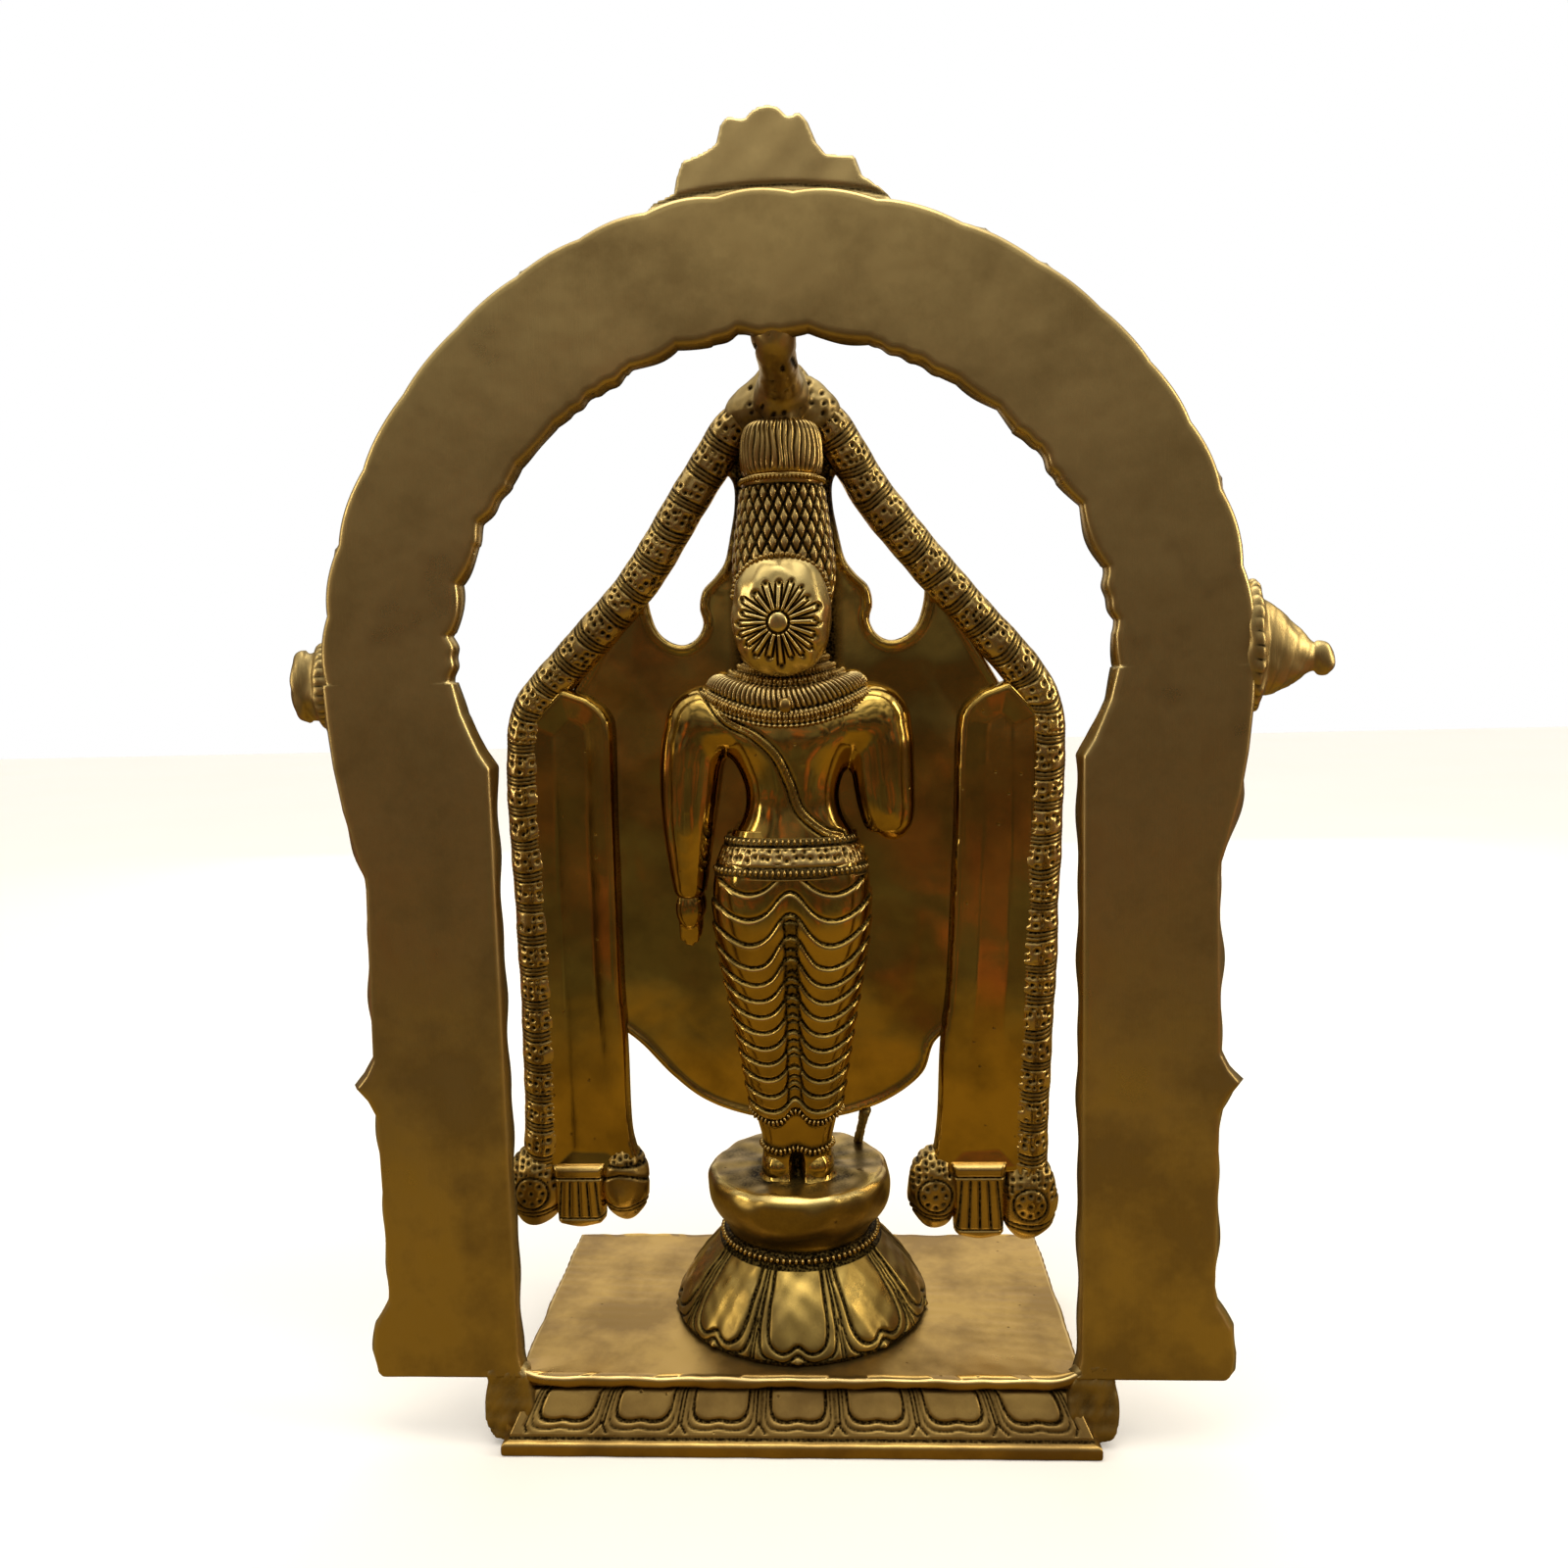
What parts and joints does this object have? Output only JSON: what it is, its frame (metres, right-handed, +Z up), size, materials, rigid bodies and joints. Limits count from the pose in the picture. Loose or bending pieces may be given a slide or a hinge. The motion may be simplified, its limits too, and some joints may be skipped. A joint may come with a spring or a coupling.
{
  "type": "cast brass statue",
  "caption": "Standing crowned figure with hanging garlands, on a lotus seat and a rectangular plinth, inside a free-standing horseshoe arch.",
  "frame": {"origin": "middle of the bounding box on the surface the plinth stands on", "axes": "+Z up, -Y the way the figure faces, +X the figure's left"},
  "size_m": [0.355, 0.12, 0.457],
  "materials": {
    "polished_brass": "mirror polish, dark in the engraving",
    "satin_brass": "satin, filed and brushed",
    "aged_brass": "aged, punched and ribbed"
  },
  "bodies": {
    "root": {"base_plinth": "satin_brass", "lotus_pedestal": "polished_brass", "rope_ring": "aged_brass", "round_seat": "polished_brass", "figure_body": "polished_brass", "waistband": "aged_brass", "collar_necklace": "aged_brass", "left_arm": "polished_brass", "right_arm": "polished_brass", "hair_disc": "polished_brass", "crown": "aged_brass", "crown_tuft": "aged_brass", "left_anklet": "aged_brass", "right_anklet": "aged_brass", "left_garland": "aged_brass", "right_garland": "aged_brass", "left_band": "satin_brass", "right_band": "satin_brass", "left_web": "polished_brass", "right_web": "polished_brass", "left_outer_tassel": "aged_brass", "left_fringe": "aged_brass", "left_inner_tassel": "aged_brass", "right_outer_tassel": "aged_brass", "right_fringe": "aged_brass", "right_inner_tassel": "aged_brass", "outer_front_loop": "aged_brass", "inner_front_loop": "aged_brass", "support_post": "aged_brass", "arch_frame": "satin_brass", "arch_crest": "satin_brass", "right_finial": "aged_brass", "left_finial": "aged_brass", "top_brace": "aged_brass"}
  },
  "joints": []
}
